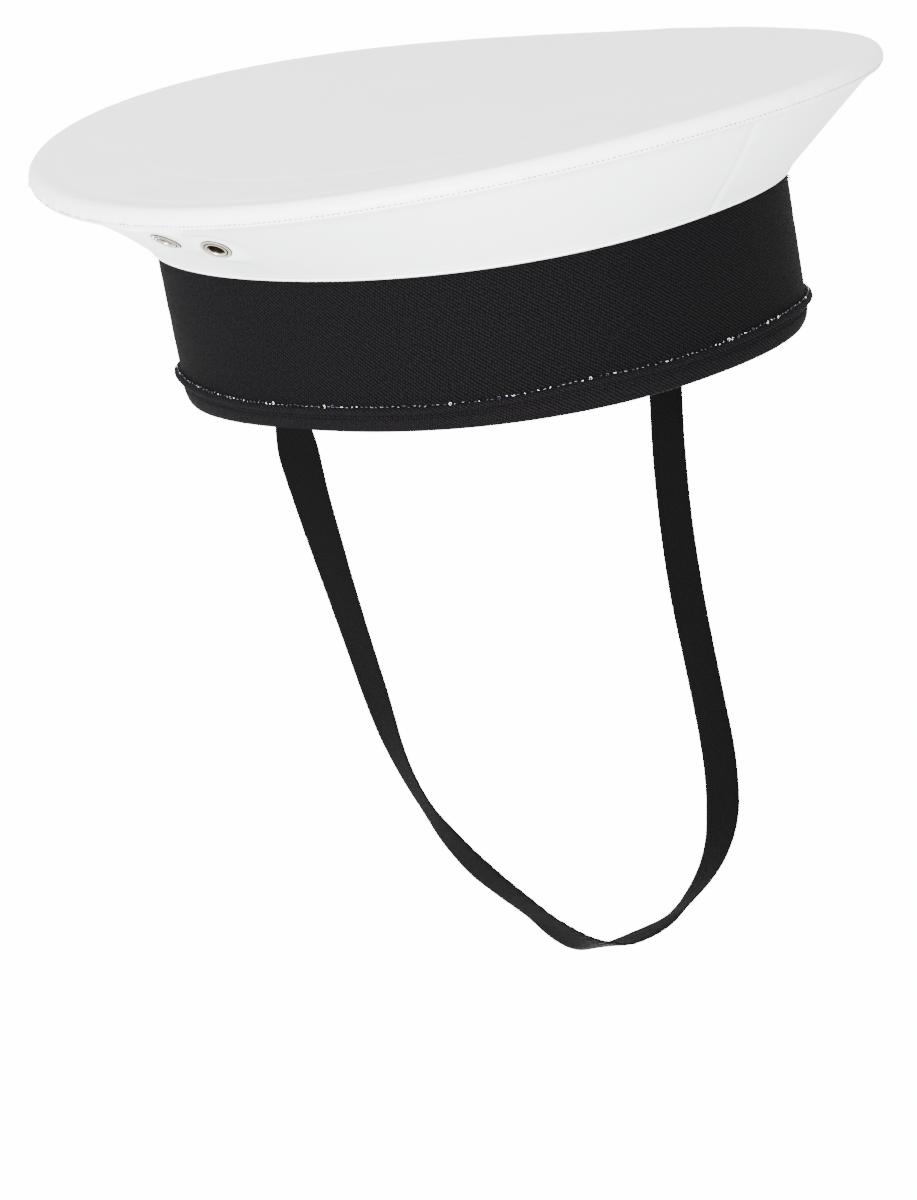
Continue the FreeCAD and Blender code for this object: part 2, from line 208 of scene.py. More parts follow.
def thread(name, colour, roughness=0.75):
    """Sewing thread, mottled and finely uneven."""
    s = Surface(name, colour, roughness, Specular_IOR_Level=0.2)
    place = s.solid_place()
    mottle = s.noise(place, 0.0009, 2.0)
    dim = tuple(0.72 * c for c in colour)
    s.paint(s.colours(mottle, dim, colour, 0.3, 0.65))
    s.raise_by(s.noise(place, 0.0002, 1.0), 0.00004)
    return s.material


def plated(name, colour, roughness):
    """Plated or drawn metal with hairline scratches and slightly dulled spots."""
    s = Surface(name, colour, roughness, Metallic=1.0)
    place = s.solid_place()
    dulling = s.noise(place, 0.0014, 3.0)
    s.dull(s.math("MULTIPLY_ADD", dulling, 0.3, roughness - 0.12))
    s.paint(s.colours(dulling, tuple(0.72 * c for c in colour), colour, 0.2, 0.6))
    s.raise_by(s.noise(place, 0.0003, 2.0, (1, 1, 8)), 0.000008)
    return s.material


def leathercloth(name, dark, light):
    """Dark leathercloth: a pebbled grain with small creases."""
    s = Surface(name, light, 0.5, Specular_IOR_Level=0.35)
    place = s.solid_place()
    grain = s.node("TexVoronoi", place, None, 900.0)
    s.paint(s.colours(s.noise(place, 0.008, 3.0), dark, light, 0.3, 0.7))
    s.raise_by(grain, 0.00012)
    s.raise_by(s.noise(place, 0.006, 3.0, (1, 1, 0.4)), 0.0002)
    return s.material


def plain_cloth(name, dark, light, pitch):
    """Plain-woven cloth from the crossing of two sets of yarns."""
    s = Surface(name, light, 0.9, Specular_IOR_Level=0.08)
    place = s.solid_place()
    across = s.node("SeparateXYZ", place)
    yarns = s.math("MULTIPLY", s.wave(across, pitch), s.wave(across.node.outputs[1], pitch))
    tone = s.math("MULTIPLY_ADD", s.noise(place, 4 * pitch, 3.0), 0.6, s.math("MULTIPLY", yarns, 0.4))
    s.paint(s.colours(tone, dark, light, 0.15, 0.85))
    s.raise_by(yarns, 0.00008)
    return s.material


def fibrous(name, dark, light, size):
    """Felted or pressed fibres, for wadding and board."""
    s = Surface(name, light, 0.95, Specular_IOR_Level=0.1)
    place = s.solid_place()
    fibres = s.noise(place, size, 4.0, (1, 0.35, 1))
    s.paint(s.colours(fibres, dark, light, 0.3, 0.7))
    s.raise_by(fibres, 0.0002)
    return s.material


CROWN_WHITE = coated_cotton("white_crown", (0.84, 0.84, 0.835), (0.80, 0.80, 0.795))
WALL_WHITE = coated_cotton("white_wall", (0.82, 0.84, 0.845), (0.79, 0.815, 0.82))
SERGE = serge("black_serge", (0.0003, 0.00025, 0.0003), (0.0050, 0.0043, 0.0052))
# A lighter copy of the serge: painted light, for the light that falls from below on the welt and the strip
# under it.
LIT_SERGE = serge("black_serge_painted_light", (0.0006, 0.0005, 0.0006), (0.0062, 0.0054, 0.0066))
TAPE = woven_tape("black_tape", (0.0001, 0.0001, 0.0001), (0.0017, 0.0014, 0.0015))
WHITE_THREAD = thread("white_thread", (0.78, 0.79, 0.80))
BLUE_THREAD = thread("blue_thread", (0.040, 0.040, 0.075))
GREY_THREAD = thread("grey_thread", (0.16, 0.16, 0.17))
# Dark dots that paint the shade in the needle holes.
HOLE_SHADE = thread("needle_hole_shade", (0.06, 0.06, 0.06), 0.9)
BLACK_THREAD = thread("black_thread", (0.007, 0.006, 0.007), 0.8)
NICKEL = plated("nickel", (0.56, 0.52, 0.42), 0.24)
SPRING_STEEL = plated("spring_steel", (0.50, 0.50, 0.52), 0.35)
STEEL = plated("steel", (0.60, 0.60, 0.62), 0.30)
# Dark nickel that paints shade deep in the eyelets' bores, in their flange grooves and as an outline round
# their edges.
EYELET_SHADE = plated("nickel_painted_shade", (0.018, 0.015, 0.012), 0.6)
LEATHERCLOTH = leathercloth("sweatband", (0.022, 0.015, 0.011), (0.050, 0.036, 0.028))
LINING = plain_cloth("black_lining", (0.006, 0.006, 0.007), (0.020, 0.020, 0.023), 0.0008)
BOARD = fibrous("board", (0.50, 0.43, 0.31), (0.63, 0.56, 0.43), 0.0012)
WADDING = fibrous("wadding", (0.74, 0.73, 0.69), (0.86, 0.85, 0.81), 0.0020)


# --------------------------------------------------------------------------------------- mesh building
def add_piece(name, points, faces, uvs, material, body="root", smooth_angle=50.0):
    """An object from points in millimetres, lists of corners and a UV, in metres, for every corner."""
    mesh = bpy.data.meshes.new(name)
    mesh.from_pydata((points * MM).tolist(), [], faces)
    layer = mesh.uv_layers.new(name="UVMap")
    if uvs is not None:
        layer.data.foreach_set("uv", np.asarray(uvs, np.float32).ravel())
    for one in material if isinstance(material, list) else [material]:
        mesh.materials.append(one)
    mesh.shade_smooth()
    build = bmesh.new()
    build.from_mesh(mesh)
    bmesh.ops.recalc_face_normals(build, faces=build.faces)
    build.to_mesh(mesh)
    build.free()
    mesh.set_sharp_from_angle(angle=math.radians(smooth_angle))
    piece = bpy.data.objects.new(name, mesh)
    scene.collection.objects.link(piece)
    if body:
        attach(piece, body)
    return piece


def skin(name, points, material, wrap=True, closed=True, without=None, body="root"):
    """A surface from rows of points. wrap joins each row's ends, closed joins the last row to the first,
    and without leaves out the faces whose middles it is true for."""
    rows, cols = points.shape[:2]
    down = np.arange(rows if closed else rows - 1)
    over = np.arange(cols if wrap else cols - 1)
    i, j = (grid.ravel() for grid in np.meshgrid(down, over, indexing="ij"))
    below, beside = (i + 1) % rows, (j + 1) % cols
    corners = np.stack([i * cols + j, i * cols + beside, below * cols + beside, below * cols + j], 1)
    u = np.linalg.norm(np.roll(points, -1, 1) - points, axis=2).mean(0).cumsum()
    v = np.linalg.norm(np.roll(points, -1, 0) - points, axis=2).mean(1).cumsum()
    u, v = (np.concatenate([[0], run]) * MM for run in (u, v))
    uvs = np.stack([u[j], v[i], u[j + 1], v[i], u[j + 1], v[i + 1], u[j], v[i + 1]], 1).reshape(-1, 4, 2)
    flat = points.reshape(-1, 3)
    if without is not None:
        kept = ~without(flat[corners].mean(1))
        corners, uvs = corners[kept], uvs[kept]
    faces, uvs = corners.tolist(), uvs.reshape(-1, 2)
    if closed and not wrap:
        for end in (0, cols - 1):
            faces.append([row * cols + end for row in range(rows)])
            uvs = np.concatenate([uvs, np.zeros((rows, 2))])
    return add_piece(name, flat, faces, uvs, material, body)


def tube(line, radius, sides=8):
    """Rows of points round a line, for one thread or wire."""
    line = np.asarray(line, float)
    ahead = np.gradient(line, axis=0)
    ahead /= np.linalg.norm(ahead, axis=1)[:, None]
    guide = np.where(np.abs(ahead[:, 2:]) < 0.8, [[0.0, 0.0, 1.0]], [[1.0, 0.0, 0.0]])
    side = np.cross(ahead, guide)
    side /= np.linalg.norm(side, axis=1)[:, None]
    over = np.cross(side, ahead)
    turns = np.linspace(0, 2 * math.pi, sides, endpoint=False)[:, None, None]
    return line + (np.cos(turns) * side + np.sin(turns) * over) * np.asarray(radius).reshape(-1, 1)


def bundle(name, lines, materials, sides=6, body="root"):
    """Many short threads in one piece. Each line is (points, radius, material number)."""
    points, faces, chosen, count = [], [], [], 0
    for line, radius, material in lines:
        length = len(line)
        ends = np.sin(np.linspace(0.12, math.pi - 0.12, length)) ** 0.35
        rows = tube(line, radius * ends, sides)
        for i in range(sides):
            for j in range(length - 1):
                k = (i + 1) % sides
                faces.append([count + n for n in (i * length + j, i * length + j + 1,
                                                  k * length + j + 1, k * length + j)])
        for end in (0, length - 1):
            faces.append([count + i * length + end for i in range(sides)])
        chosen += [material] * (sides * (length - 1) + 2)
        points.append(rows.reshape(-1, 3))
        count += sides * length
    piece = add_piece(name, np.concatenate(points), faces, None, materials, body)
    piece.data.polygons.foreach_set("material_index", chosen)
    return piece


# ---------------------------------------------------------------------------------- shape of the cap
BAND_HALF_LENGTH, BAND_HALF_WIDTH, OVAL_POWER = 100.5, 89.5, 2.26
WALL_FOOT, WALL_TOP, WALL_TOP_RADIUS = 48.9, 76.2, 131.6
HOOP_RADIUS, HOOP_HEIGHT = 132.0, 80.1
CREST = 83.75            # top of the crown cover

# The four eyelets: degrees round the cap, share of the way up the wall, and how much the cloth at each
# leans up the wall and swings along it.
EYELET_NAMES = ("right_front", "right_rear", "left_front", "left_rear")
EYELET_TURNS = (87.7, 97.2, -86.6, -98.6)
EYELET_SHARES = (0.615, 0.69, 0.62, 0.62)
EYELET_LEAN = (0.19, 0.11, 0.16, 0.12)
EYELET_SWING = (-0.115, -0.035, 0.05, 0.03)
EYELET_REACH = 10        # how far round an eyelet its cloth leans
EYELET_RAISE = 0.15      # how far an eyelet stands off the cloth
EYELET_DISTANCE = 118    # from the axis of the cap, near enough
WALL_LENGTH = 46         # up the slope of the wall, near enough
HOLE_RADIUS = 3.9        # the cloth is cut away this far round an eyelet, under its flange
HOLE_DEPTH = 12          # and this far in and out

# How far wear has moved the cap from its true shape. A place on it is (degrees round, width in degrees).
WORN_RADIUS = 135.7      # the crown's edge, where its wear is greatest
TILT, SADDLE, SPREAD = 2.3, 3.8, 1.5
SAG, SAG_PLACE = 0.8, (-115, 28)
SWELL, SWELL_PLACE = 1.2, (-45, 34)
CREEP, CREEP_PLACE = 1.5, (110, 55)
BAND_LEAN, FOOT_RISE, LEAN_PLACE = 1.3, 1.7, (135, 24)
DENT, DENT_START, DENT_END = 1.8, 96, 152
DENT_INWARD, DENT_UPWARD = 0.6, 0.8
# How the welt wanders up and down the band, as (degrees round, width in degrees, millimetres up).
WELT_WANDER = [(137, 26, 3.0), (56, 14, -0.6), (28, 10, 0.7), (-18, 12, 0.6), (-50, 16, -0.9)]


def near_turn(turn, degrees, width):
    """1 at one turn of the cap, fading to 0 either side of it over width degrees."""
    apart = turn - math.radians(degrees)
    away = np.degrees(np.arctan2(np.sin(apart), np.cos(apart)))
    return np.exp(-(away / width) ** 2)


def welt_rise(turn):
    """How far up the welt has wandered at that turn."""
    return sum(up * near_turn(turn, degrees, width) for degrees, width, up in WELT_WANDER)


def oval(turn, inset=0.0):
    """Distance from the axis to the band's outer face, drawn in by inset and swollen at the left front."""
    along = np.abs(np.cos(turn)) / (BAND_HALF_LENGTH - inset)
    across = np.abs(np.sin(turn)) / (BAND_HALF_WIDTH - inset)
    radius = (along ** OVAL_POWER + across ** OVAL_POWER) ** (-1 / OVAL_POWER)
    return radius + SWELL * near_turn(turn, *SWELL_PLACE)


def place(turn, radius, height):
    """Points at a turn round the cap, a distance from its axis and a height."""
    turn, radius, height = np.broadcast_arrays(turn, radius, height)
    return np.stack([-radius * np.sin(turn), -radius * np.cos(turn), height], -1)


def wall(turn, share, inset=0.0):
    """A point of the sloping side wall, at a share of the way up it. It is dented at the right rear, and the
    cloth leans and swings a little round each eyelet."""
    degrees_round = np.degrees(turn) % 360
    dent = DENT / (1 + np.exp((DENT_START - degrees_round) / 4))
    dent = dent / (1 + np.exp((degrees_round - DENT_END) / 7))
    dent = dent * np.sin(math.pi * np.clip(share, 0, 1)) ** 0.8
    for degrees, middle, lean, swing in zip(EYELET_TURNS, EYELET_SHARES, EYELET_LEAN, EYELET_SWING):
        apart = np.mod(turn - math.radians(degrees) + math.pi, 2 * math.pi) - math.pi
        across = apart * EYELET_DISTANCE
        along = (share - middle) * WALL_LENGTH
        near = np.exp(-((across ** 2 + along ** 2) / EYELET_REACH ** 2) ** 2)
        dent = dent + (lean * along + swing * across) * near
    near_foot = near_turn(turn, *LEAN_PLACE) * np.clip(1 - share, 0, 1) ** 2
    radius = (1 - share) * oval(turn, inset) + share * (WALL_TOP_RADIUS - inset) - DENT_INWARD * dent
    height = (1 - share) * WALL_FOOT + share * WALL_TOP + DENT_UPWARD * dent
    return place(turn, radius + BAND_LEAN * near_foot, height + FOOT_RISE * near_foot)


def eyelet_seat(degrees, share):
    """Where an eyelet sits on the wall, and the way out of the wall there."""
    turn, near = math.radians(degrees), math.radians(0.5)
    across = wall(turn + near, share) - wall(turn - near, share)
    outward = np.cross(across, wall(turn, share + 0.02) - wall(turn, share - 0.02))
    seat = wall(turn, share)
    outward *= np.sign(outward @ seat) / np.linalg.norm(outward)
    return seat + EYELET_RAISE * outward, outward


SEATS = [eyelet_seat(degrees, share) for degrees, share in zip(EYELET_TURNS, EYELET_SHARES)]


def worn(points):
    """The crown's worn shape: higher at front and back, tilted a little, and true at the eyelets."""
    x, y, z = points[..., 0], points[..., 1], points[..., 2]
    turn, share = np.arctan2(-x, -y), np.hypot(x, y) / WORN_RADIUS
    rise = np.clip((z - WALL_FOOT) / (WALL_TOP - WALL_FOOT), 0, 1) ** 3
    for seat, _ in SEATS:
        rise = rise * (1 - np.exp(-((points - seat) ** 2).sum(-1) / 200))
    lift = (TILT * share * np.sin(turn) + SADDLE * share ** 2 * np.cos(2 * turn)) * rise
    lift = lift - SAG * near_turn(turn, *SAG_PLACE) * share ** 2 * rise
    grow = 1 + SPREAD / WORN_RADIUS * np.cos(2 * turn) * rise
    return np.stack([x * grow, y * grow, z + lift], -1)


def in_a_hole(middles):
    """True for points within an eyelet's hole."""
    found = np.zeros(len(middles), bool)
    for seat, outward in SEATS:
        away = middles - seat
        depth = away @ outward
        aside = np.linalg.norm(away - depth[:, None] * outward, axis=1)
        found |= (aside < HOLE_RADIUS) & (np.abs(depth) < HOLE_DEPTH)
    return found


def around(columns, start=-180.0, end=180.0):
    """Turns round the cap, from the back seam and back to it."""
    whole = end - start == 360
    return np.radians(np.linspace(start, end, columns, endpoint=not whole))


def ripple(turn, waves, size):
    """A soft unevenness round the cap from waves of several counts, each with a seeded random phase."""
    total = np.zeros_like(turn)
    for count in waves:
        total += np.sin(count * turn + random.uniform(0, 2 * math.pi)) / len(waves)
    return size * total


def bump_at(value, middle, width):
    """1 where value is middle, fading to 0 either side of it."""
    return np.exp(-((value - middle) / width) ** 2)


def banded(turn, levels, rough=0.0, waves=(9, 23, 41)):
    """Rows round the band from (inset, height) levels."""
    return np.stack([place(turn, oval(turn, inset + ripple(turn, waves, rough)), height)
                     for inset, height in levels])


# -------------------------------------------------------------------------------------- the chin stay
# The route's control points in metres, from where the tape is sewn in on the wearer's right, down round the
# jaw and up to the left. The first and last points are inside the band, and the next ones are the exits.
STAY_ROUTE = [
    (-0.0853, 0.0070, 0.0240),
    (-0.0853, 0.0070, 0.0000),
    (-0.0849, 0.0053, -0.0190),
    (-0.0839, 0.0003, -0.0477),
    (-0.0834, -0.0066, -0.0784),
    (-0.0838, -0.0150, -0.1118),
    (-0.0773, -0.0286, -0.1395),
    (-0.0621, -0.0397, -0.1608),
    (-0.0427, -0.0404, -0.1792),
    (-0.0209, -0.0368, -0.1854),
    (0.0043, -0.0394, -0.1830),
    (0.0273, -0.0396, -0.1691),
    (0.0458, -0.0273, -0.1500),
    (0.0580, -0.0140, -0.1260),
    (0.0665, -0.0035, -0.0910),
    (0.0752, 0.0030, -0.0530),
    (0.0844, 0.0064, -0.0190),
    (0.0853, 0.0070, 0.0000),
    (0.0853, 0.0070, 0.0240),
]
STAY_CENTRE = np.array([0.0, 0.0, -60.0])
TAPE_WIDTH, TAPE_THICKNESS = 14.0, 0.9
TAPE_SECTIONS = 15       # points across each face of it
TAPE_HELD = 26           # it is sewn in this far at each end, and its edges are straight there
# How the tape twists from facing straight out, as (millimetres along it, degrees).
TAPE_TWIST = [
    (0, 0), (17, 0), (31, -26), (36, -19), (45, -11), (55, -6), (72, 2), (91, 8), (111, 11), (121, 16),
    (131, 22), (141, 25), (150, 25), (160, 15), (169, 11), (177, 8), (186, 11), (202, 19), (218, 8),
    (225, 4), (232, 3), (239, 11), (246, 11), (256, 10), (263, 4), (269, -7), (276, -7), (284, -1),
    (292, 0), (310, 1), (345, -5), (390, 4), (430, 3), (470, 0), (511, 0),
]


def stay_line():
    """The smooth line through the route, as points in metres."""
    data = bpy.data.curves.new("stay_line", "CURVE")
    data.dimensions = "3D"
    spline = data.splines.new("NURBS")
    spline.points.add(len(STAY_ROUTE) - 1)
    for point, at in zip(spline.points, STAY_ROUTE):
        point.co = (*at, 1)
    spline.order_u = 3
    spline.use_endpoint_u = True
    spline.resolution_u = 40
    holder = bpy.data.objects.new("stay_line", data)
    mesh = bpy.data.meshes.new_from_object(holder)
    line = np.array([v.co for v in mesh.vertices])
    bpy.data.objects.remove(holder)
    bpy.data.curves.remove(data)
    bpy.data.meshes.remove(mesh)
    return line


def make_chin_stay():
    """The tape from one sewn-in end to the other, with its twist, worn edges and a puckered stretch."""
    line = stay_line()
    middle = line / MM
    ahead = np.gradient(middle, axis=0)
    ahead /= np.linalg.norm(ahead, axis=1)[:, None]
    length = np.concatenate([[0], np.linalg.norm(np.diff(middle, axis=0), axis=1).cumsum()])
    outward = middle - np.where(middle[:, 2:] > 0, middle * [[0, 0, 1]], STAY_CENTRE)
    outward -= (outward * ahead).sum(1)[:, None] * ahead
    outward /= np.linalg.norm(outward, axis=1)[:, None]
    twist = np.interp(length, *zip(*TAPE_TWIST))
    near = np.exp(-np.linspace(-2, 2, 25) ** 2)
    twist = np.radians(np.convolve(np.pad(twist, 12, "edge"), near / near.sum(), "valid"))[:, None]
    face = np.cos(twist) * outward + np.sin(twist) * np.cross(ahead, outward)
    side = np.cross(ahead, face)
    free = np.clip((length - TAPE_HELD) / 10, 0, 1) * np.clip((length[-1] - TAPE_HELD - length) / 10, 0, 1)
    pucker = bump_at(length, 196, 44) * free
    rows = []
    for layer in (1, -1):
        for across in np.linspace(-1, 1, TAPE_SECTIONS)[::layer]:
            ragged = 0.07 * np.sin(length * 2 * math.pi / 1.5 + across)
            ragged = ragged + random.normal(0, 0.03, len(length))
            scallop = 0.26 * np.sin(length * 2 * math.pi / 4.3) * pucker * (1 - across) / 2
            edge = abs(across) ** 6
            half = TAPE_WIDTH / 2 + (ragged + scallop) * edge * free - 0.1
            wave = scallop * across ** 2 * 0.8 + 0.18 * np.sin(length / 19 + 2) * across ** 2 * free
            thick = layer * TAPE_THICKNESS / 2 * (1 - 0.45 * abs(across) ** 8)
            rows.append(middle + side * (across * half)[:, None] + face * (wave + thick)[:, None])
    rows = np.stack(rows)
    stay = skin("chin_stay_tape", rows.transpose(1, 0, 2), TAPE, closed=False, body=None)
    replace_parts(stay, "chin_stay", "stay_tab_right", "stay_tab_left")
    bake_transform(stay)


make_chin_stay()


# ------------------------------------------------------------------------------------------ the crown
def crown_top(radius):
    """Height of the cover over the layers under it: board, wadding and wire."""
    return (CREST - 0.20 * bump_at(radius, 102.0, 2.2) + 0.05 * bump_at(radius, 98.0, 2.5)
            - 0.16 * bump_at(radius, 113, 9) - 0.30 * bump_at(radius, 127.3, 2.2))


def make_crown_cover():
    """The cover from the middle of its top, round the roll to its hem, and back along its inner face."""
    turn = around(720)
    wrinkles = ripple(turn, (43, 71, 97, 131), 0.75) * near_turn(turn, 122, 32)
    wrinkles = wrinkles + ripple(turn, (53, 89, 127), 0.16)
    rows = []
    for radius in np.concatenate([[0.05, 6, 14], np.arange(22, 94, 8), np.arange(94, 131.5, 0.9)]):
        rise = crown_top(radius) + ripple(turn, (3, 5, 8), 0.10) * radius / 130
        rows.append(place(turn, radius, rise))
    for degrees in np.arange(84, -37, -5):
        angle = math.radians(degrees)
        size = 3.65 - 0.30 * bump_at(degrees, -25, 4.0) + ripple(turn, (14, 37, 61), 0.06)
        size = size + wrinkles * bump_at(degrees, -8, 26)
        rows.append(place(turn, HOOP_RADIUS + size * math.cos(angle), HOOP_HEIGHT + size * math.sin(angle)))
    for radius, height in ((134.6, 77.55), (134.0, 77.25), (133.3, 77.3), (133.0, 77.9)):
        rows.append(place(turn, radius, height))
    for degrees in range(-45, 91, 15):
        angle = math.radians(degrees)
        rows.append(place(turn, HOOP_RADIUS + 2.75 * math.cos(angle), HOOP_HEIGHT + 2.75 * math.sin(angle)))
    for radius in (120, 90, 60, 30, 0.05):
        rows.append(place(turn, radius, CREST - 0.95))
    piece = skin("crown_cover_cloth", worn(np.stack(rows)), CROWN_WHITE)
    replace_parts(piece, "crown_cover")
    make_rim_stitching()


def make_rim_stitching():
    """Lockstitches round the underside of the roll, each sunk between two needle holes, which are dark dots
    of painted shade.
    """
    count = 480
    angle = math.radians(-25)
    lines = []
    for k in range(count):
        middle = 2 * math.pi * (k + random.uniform(-0.08, 0.08)) / count
        half = 0.0047 * random.uniform(0.9, 1.05)
        # A dark dot of painted shade for each needle hole.
        hole = (middle + math.pi / count, 0.0018, 0.25, 1)
        for at, reach, size, material in ((middle, half, 0.20, 0), hole):
            turns = at + np.linspace(-reach, reach, 5)
            lift = 3.47 + (0.13 * np.cos(np.linspace(-1.4, 1.4, 5)) if material == 0 else 0.0)
            line = place(turns, HOOP_RADIUS + lift * math.cos(angle), HOOP_HEIGHT + lift * math.sin(angle))
            lines.append((worn(line), size, material))
    return bundle("rim_topstitching", lines, [WHITE_THREAD, HOLE_SHADE])


def turned(name, profile, columns, material, node):
    """A round part of the crown from (radius, height) points, bent with the crown."""
    turn = around(columns)
    rows = np.stack([place(turn, radius, height) for radius, height in profile])
    piece = skin(name, worn(rows), material)
    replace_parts(piece, node)
    return piece


def slab(inner, outer, foot, top, steps):
    """A flat ring's profile."""
    radii = np.linspace(inner, outer, steps)
    return [(r, top) for r in radii] + [(r, foot) for r in radii[::-1]]


def hoop(radius, sides):
    """The profile of a ring of round section in the crown's edge."""
    angles = np.linspace(0, 2 * math.pi, sides, endpoint=False)
    return [(HOOP_RADIUS + radius * math.cos(a), HOOP_HEIGHT + radius * math.sin(a)) for a in angles]


make_crown_cover()
turned("crown_board_disc", slab(0.05, 101.0, 81.2, 82.6, 9), 120, BOARD, "crown_board")
wadding_profile = slab(102.5, 127.5, 80.9, 82.6, 7)
ring = turned("crown_wadding_ring", wadding_profile, 160, WADDING, "crown_wadding")
turned("crown_wire_hoop", hoop(1.2, 12), 240, SPRING_STEEL, "crown_wire")
roll = turned("roll_padding_tube", hoop(2.5, 16), 240, WADDING, "roll_padding")
lining_profile = [(r, 79.5) for r in (0.05, 40, 80, 118, 124, 126.8)]
lining_profile += [(127.8, 78.6), (128.2, 76.6), (127.4, 76.5), (127.0, 78.2), (126.0, 78.7)]
lining_profile += [(r, 78.7) for r in (118, 80, 40, 0.05)]
lining = turned("crown_lining_cloth", lining_profile, 240, LINING, "crown_lining")


def make_ferrule():
    """The tube that joins the wire's two ends, at the back, crimped twice on each side."""
    turn = np.radians(np.linspace(176, 184, 41))
    size = 1.75 - 0.22 * sum(bump_at(np.degrees(turn), at, 0.35) for at in (177.2, 178.6, 181.4, 182.8))
    line = worn(place(turn, HOOP_RADIUS, HOOP_HEIGHT))
    rows = tube(line, size, 16)
    piece = skin("wire_ferrule_tube", rows.transpose(1, 0, 2), STEEL, closed=False)
    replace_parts(piece, "wire_ferrule")


make_ferrule()


# -------------------------------------------------------------------------------------- the side wall
# The folded hem at a panel's foot, as (inset, share of the way up the wall).
HEM_PROFILE = [
    (1.3, 0.024), (0.9, 0.010), (0.2, 0.003), (-0.40, 0.006), (-0.78, 0.016), (-0.80, 0.027),
    (-0.55, 0.037), (-0.28, 0.043),
]


def make_panel(side, start, end):
    """One outer panel: a hem at its foot, turned-in ends, and a little slackness under the roll."""
    turn = around(404, start, end)
    from_front = np.abs(np.sin(turn / 2)) * 200
    from_back = np.abs(np.cos(turn / 2)) * 200
    seam = 0.55 * (np.exp(-(from_front / 1.3) ** 2) + np.exp(-(from_back / 1.3) ** 2))
    slack = ripple(turn, (7, 11, 17), 0.22)
    fine = ripple(turn, (67, 103, 149), 0.16)
    rows = []
    twist = math.radians(3.0) * near_turn(turn, 0, 30)
    for inset, share in HEM_PROFILE:
        rows.append(wall(turn, share, inset + seam * 0.3))
    for share in np.linspace(0.050, 1.06, 57):
        hem = -0.32 * (1 - 1 / (1 + math.exp(-(share - 0.095) / 0.008)))
        belly = slack * math.sin(math.pi * min(share, 1))
        pucker = fine * math.exp(-(1 - share) / 0.11)
        tuck = -0.45 * bump_at(share, 1.03, 0.03)
        rows.append(wall(turn + twist * share, share, hem + belly + pucker + tuck + seam))
    for share in np.linspace(1.04, 0.03, 56):
        rows.append(wall(turn + twist * share, share, 1.4 + 0 * turn))
    piece = skin(f"side_panel_{side}_cloth", worn(np.stack(rows)), WALL_WHITE, wrap=False,
                 without=in_a_hole)
    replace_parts(piece, f"side_panel_{side}")


def make_wall_layer(name, outside, inside, material, node):
    """A layer behind the panels, between two insets from the wall's outer face."""
    turn = around(720)
    shares = np.linspace(0.0, 1.0, 48)
    rows = [wall(turn, share, outside) for share in shares]
    rows += [wall(turn, share, inside) for share in shares[::-1]]
    piece = skin(name, worn(np.stack(rows)), material, without=in_a_hole)
    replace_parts(piece, node)
    return piece


make_panel("right", 0.02, 179.98)
make_panel("left", -179.98, -0.02)
make_wall_layer("side_interlining_cloth", 1.6, 3.2, BOARD, "side_interlining")
lining = make_wall_layer("side_lining_cloth", 3.4, 4.6, LINING, "side_lining")

EYELET_PROFILE = [
    (2.80, -3.9), (2.80, -0.4), (2.80, 0.12), (2.88, 0.36), (3.08, 0.54), (3.32, 0.58), (3.54, 0.48),
    (3.66, 0.26), (3.80, 0.20), (3.96, 0.32), (4.18, 0.44), (4.48, 0.48), (4.80, 0.44), (5.00, 0.34),
    (5.08, 0.02), (4.98, -0.06), (3.40, -0.04), (3.28, -0.1), (3.28, -3.7), (3.50, -4.1), (3.38, -4.35),
    (3.05, -4.3),
]
# Eyelet rows painted dark as shade:
SHADED_ROWS = (0, 6, 7, 8, 13)    # deep in the bore, the groove in the flange, and its edge
WASHER_PROFILE = [(3.32, -3.6), (4.55, -3.65), (4.70, -3.5), (4.70, -3.15), (4.5, -3.0), (3.32, -3.0)]


def on_seat(profile, seat, outward, columns=48):
    """A turned shape standing on an eyelet's seat."""
    side = np.cross(outward, [0, 0, 1.0])
    side /= np.linalg.norm(side)
    over = np.cross(outward, side)
    turns = np.linspace(0, 2 * math.pi, columns, endpoint=False)[:, None]
    ring = np.cos(turns) * side + np.sin(turns) * over
    return np.stack([seat + radius * ring + height * outward for radius, height in profile])


for name, (seat, outward) in zip(EYELET_NAMES, SEATS):
    for label, profile in (("eyelet", EYELET_PROFILE), ("eyelet_washer", WASHER_PROFILE)):
        rows = on_seat(profile, seat, outward)
        # The listed rows take the dark nickel that paints shade.
        piece = skin(f"{label}_{name}_ring", rows, [NICKEL, EYELET_SHADE])
        columns = rows.shape[1]
        for row in SHADED_ROWS:
            for face in piece.data.polygons[row * columns:(row + 1) * columns]:
                face.material_index = 1
        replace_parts(piece, f"{label}_{name}")

# ------------------------------------------------------------------------------------------- the band
CLOTH_FOOT, CLOTH_TOP = 9.2, 48.4
# The welt and the edge strip under it, as (inset, height).
WELT_PROFILE = [
    (0.8, 9.3), (-0.2, 9.4), (-0.9, 9.25), (-1.6, 8.9), (-2.05, 8.4), (-2.15, 7.8), (-1.85, 7.25),
    (-1.2, 6.85), (-0.3, 6.65), (0.8, 6.7),
]
EDGE_TOP = 6.6
EDGE_PROFILE = [
    (0.5, 6.6), (-0.15, 6.6), (-0.35, 6.2), (-0.30, 5.8), (0.05, 5.4), (0.08, 5.1), (-0.12, 4.8),
    (-0.10, 4.1), (0.05, 3.2), (0.28, 2.3), (0.62, 1.4), (1.05, 0.6), (1.6, 0.0), (2.2, -0.35), (2.7, -0.4),
    (3.2, -0.15), (3.6, 0.4), (3.6, 1.0), (3.4, 1.5), (2.9, 2.2), (2.2, 3.8), (1.2, 6.3),
]


